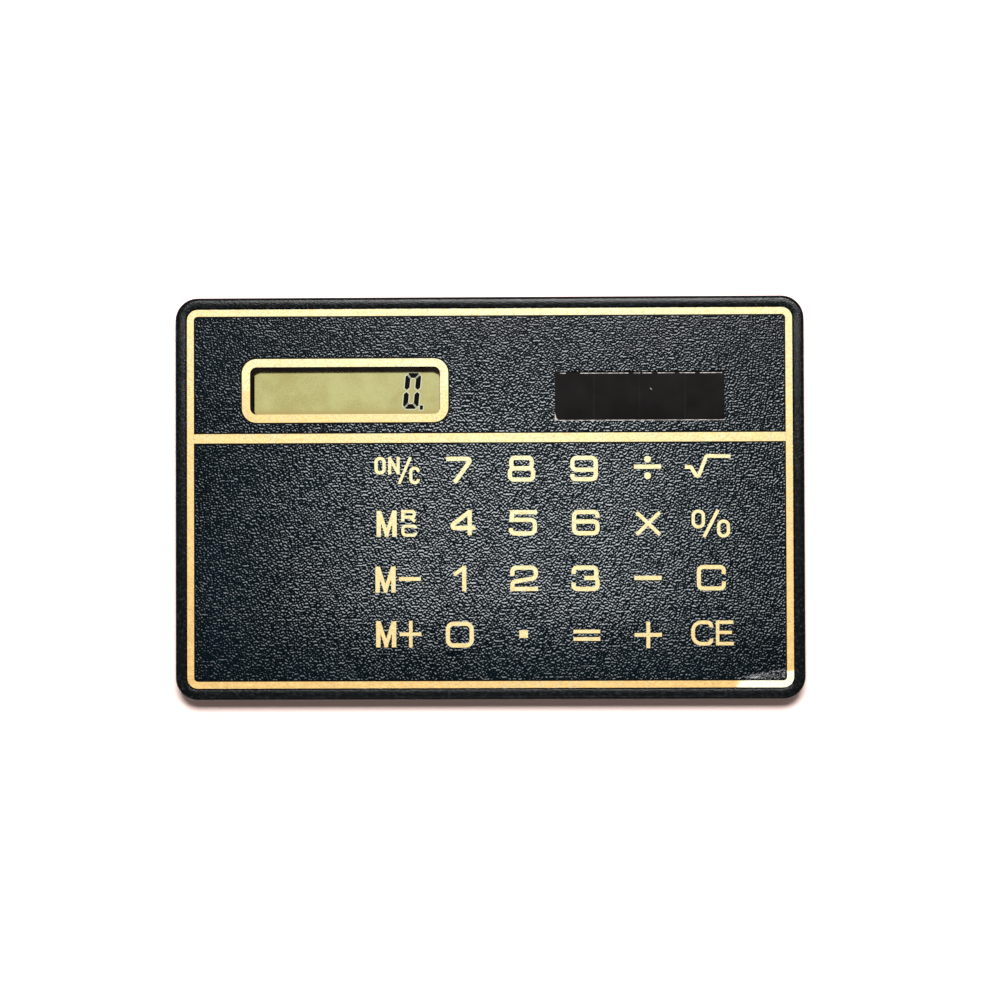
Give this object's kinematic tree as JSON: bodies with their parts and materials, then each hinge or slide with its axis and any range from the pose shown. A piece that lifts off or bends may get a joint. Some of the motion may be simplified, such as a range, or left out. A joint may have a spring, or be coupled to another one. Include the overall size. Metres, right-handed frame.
{
  "type": "pocket calculator",
  "caption": "Card-size solar pocket calculator: black tray case, leatherette face with gold foil lines, small display window, solar cell and a grid of flush press keys.",
  "frame": {"origin": "centre of the case's footprint, on its underside", "axes": "+X along the long side towards the root key, +Y towards the display side, +Z out of the face"},
  "size_m": [0.086, 0.055, 0.004],
  "materials": {
    "case_plastic": "black moulded plastic with a fine spark texture",
    "plate_plastic": "plain black moulded plastic",
    "leatherette": "navy-black leatherette film with a pebble grain",
    "key_leatherette": "pad of silicone topped by the same leatherette film",
    "gold_foil": "hot-stamped pale gold foil",
    "web_silicone": "grey silicone mat",
    "board_laminate": "brown paper laminate with copper and carbon tracks",
    "chip_epoxy": "black epoxy drop",
    "capacitor_body": "tan ceramic with tinned ends",
    "resistor_body": "black glazed ceramic with tinned ends",
    "clamp_lens": "red clear plastic",
    "polariser_film": "olive-grey anti-glare polariser film",
    "display_glass": "clear glass",
    "reflector_film": "brushed reflector film",
    "pad_foam": "grey open-cell foam",
    "ribbon_film": "amber heat-seal film with graphite tracks",
    "solar_glass": "near-black amorphous silicon cell on glass",
    "lead_black": "black wire sleeve",
    "lead_red": "red wire sleeve",
    "screw_steel": "zinc-plated steel"
  },
  "bodies": {
    "case": {"rear_case": "case_plastic", "front_plate": "plate_plastic", "face_sheet": "leatherette", "keypad_web": "web_silicone", "circuit_board": "board_laminate", "chip_blob": "chip_epoxy", "smoothing_capacitor": "capacitor_body", "clock_resistor": "resistor_body", "voltage_clamp_led": "clamp_lens", "lcd_polariser": "polariser_film", "lcd_front_glass": "display_glass", "lcd_rear_glass": "display_glass", "lcd_reflector": "reflector_film", "lcd_foam_pad": "pad_foam", "lcd_ribbon": "ribbon_film", "solar_cell": "solar_glass", "solar_foam_pad": "pad_foam", "solar_lead_black": "lead_black", "solar_lead_red": "lead_red", "screw_front_left": "screw_steel", "screw_front_right": "screw_steel", "screw_back_left": "screw_steel", "screw_back_right": "screw_steel"},
    "key_on_clear": {"key_on_clear": "key_leatherette"},
    "key_7": {"key_7": "key_leatherette"},
    "key_8": {"key_8": "key_leatherette"},
    "key_9": {"key_9": "key_leatherette"},
    "key_divide": {"key_divide": "key_leatherette"},
    "key_root": {"key_root": "key_leatherette"},
    "key_memory_recall": {"key_memory_recall": "key_leatherette"},
    "key_4": {"key_4": "key_leatherette"},
    "key_5": {"key_5": "key_leatherette"},
    "key_6": {"key_6": "key_leatherette"},
    "key_multiply": {"key_multiply": "key_leatherette"},
    "key_percent": {"key_percent": "key_leatherette"},
    "key_memory_minus": {"key_memory_minus": "key_leatherette"},
    "key_1": {"key_1": "key_leatherette"},
    "key_2": {"key_2": "key_leatherette"},
    "key_3": {"key_3": "key_leatherette"},
    "key_minus": {"key_minus": "key_leatherette"},
    "key_clear": {"key_clear": "key_leatherette"},
    "key_memory_plus": {"key_memory_plus": "key_leatherette"},
    "key_0": {"key_0": "key_leatherette"},
    "key_point": {"key_point": "key_leatherette"},
    "key_equals": {"key_equals": "key_leatherette"},
    "key_plus": {"key_plus": "key_leatherette"},
    "key_clear_entry": {"key_clear_entry": "key_leatherette"}
  },
  "joints": [
    {"name": "key_on_clear_press", "type": "slide", "parent": "case", "child": "key_on_clear", "axis": [0, 0, -1], "range_m": [0, 0.00025], "stiffness_N_per_m": 300, "springref_m": -0.002},
    {"name": "key_7_press", "type": "slide", "parent": "case", "child": "key_7", "axis": [0, 0, -1], "range_m": [0, 0.00025], "stiffness_N_per_m": 300, "springref_m": -0.002},
    {"name": "key_8_press", "type": "slide", "parent": "case", "child": "key_8", "axis": [0, 0, -1], "range_m": [0, 0.00025], "stiffness_N_per_m": 300, "springref_m": -0.002},
    {"name": "key_9_press", "type": "slide", "parent": "case", "child": "key_9", "axis": [0, 0, -1], "range_m": [0, 0.00025], "stiffness_N_per_m": 300, "springref_m": -0.002},
    {"name": "key_divide_press", "type": "slide", "parent": "case", "child": "key_divide", "axis": [0, 0, -1], "range_m": [0, 0.00025], "stiffness_N_per_m": 300, "springref_m": -0.002},
    {"name": "key_root_press", "type": "slide", "parent": "case", "child": "key_root", "axis": [0, 0, -1], "range_m": [0, 0.00025], "stiffness_N_per_m": 300, "springref_m": -0.002},
    {"name": "key_memory_recall_press", "type": "slide", "parent": "case", "child": "key_memory_recall", "axis": [0, 0, -1], "range_m": [0, 0.00025], "stiffness_N_per_m": 300, "springref_m": -0.002},
    {"name": "key_4_press", "type": "slide", "parent": "case", "child": "key_4", "axis": [0, 0, -1], "range_m": [0, 0.00025], "stiffness_N_per_m": 300, "springref_m": -0.002},
    {"name": "key_5_press", "type": "slide", "parent": "case", "child": "key_5", "axis": [0, 0, -1], "range_m": [0, 0.00025], "stiffness_N_per_m": 300, "springref_m": -0.002},
    {"name": "key_6_press", "type": "slide", "parent": "case", "child": "key_6", "axis": [0, 0, -1], "range_m": [0, 0.00025], "stiffness_N_per_m": 300, "springref_m": -0.002},
    {"name": "key_multiply_press", "type": "slide", "parent": "case", "child": "key_multiply", "axis": [0, 0, -1], "range_m": [0, 0.00025], "stiffness_N_per_m": 300, "springref_m": -0.002},
    {"name": "key_percent_press", "type": "slide", "parent": "case", "child": "key_percent", "axis": [0, 0, -1], "range_m": [0, 0.00025], "stiffness_N_per_m": 300, "springref_m": -0.002},
    {"name": "key_memory_minus_press", "type": "slide", "parent": "case", "child": "key_memory_minus", "axis": [0, 0, -1], "range_m": [0, 0.00025], "stiffness_N_per_m": 300, "springref_m": -0.002},
    {"name": "key_1_press", "type": "slide", "parent": "case", "child": "key_1", "axis": [0, 0, -1], "range_m": [0, 0.00025], "stiffness_N_per_m": 300, "springref_m": -0.002},
    {"name": "key_2_press", "type": "slide", "parent": "case", "child": "key_2", "axis": [0, 0, -1], "range_m": [0, 0.00025], "stiffness_N_per_m": 300, "springref_m": -0.002},
    {"name": "key_3_press", "type": "slide", "parent": "case", "child": "key_3", "axis": [0, 0, -1], "range_m": [0, 0.00025], "stiffness_N_per_m": 300, "springref_m": -0.002},
    {"name": "key_minus_press", "type": "slide", "parent": "case", "child": "key_minus", "axis": [0, 0, -1], "range_m": [0, 0.00025], "stiffness_N_per_m": 300, "springref_m": -0.002},
    {"name": "key_clear_press", "type": "slide", "parent": "case", "child": "key_clear", "axis": [0, 0, -1], "range_m": [0, 0.00025], "stiffness_N_per_m": 300, "springref_m": -0.002},
    {"name": "key_memory_plus_press", "type": "slide", "parent": "case", "child": "key_memory_plus", "axis": [0, 0, -1], "range_m": [0, 0.00025], "stiffness_N_per_m": 300, "springref_m": -0.002},
    {"name": "key_0_press", "type": "slide", "parent": "case", "child": "key_0", "axis": [0, 0, -1], "range_m": [0, 0.00025], "stiffness_N_per_m": 300, "springref_m": -0.002},
    {"name": "key_point_press", "type": "slide", "parent": "case", "child": "key_point", "axis": [0, 0, -1], "range_m": [0, 0.00025], "stiffness_N_per_m": 300, "springref_m": -0.002},
    {"name": "key_equals_press", "type": "slide", "parent": "case", "child": "key_equals", "axis": [0, 0, -1], "range_m": [0, 0.00025], "stiffness_N_per_m": 300, "springref_m": -0.002},
    {"name": "key_plus_press", "type": "slide", "parent": "case", "child": "key_plus", "axis": [0, 0, -1], "range_m": [0, 0.00025], "stiffness_N_per_m": 300, "springref_m": -0.002},
    {"name": "key_clear_entry_press", "type": "slide", "parent": "case", "child": "key_clear_entry", "axis": [0, 0, -1], "range_m": [0, 0.00025], "stiffness_N_per_m": 300, "springref_m": -0.002}
  ]
}
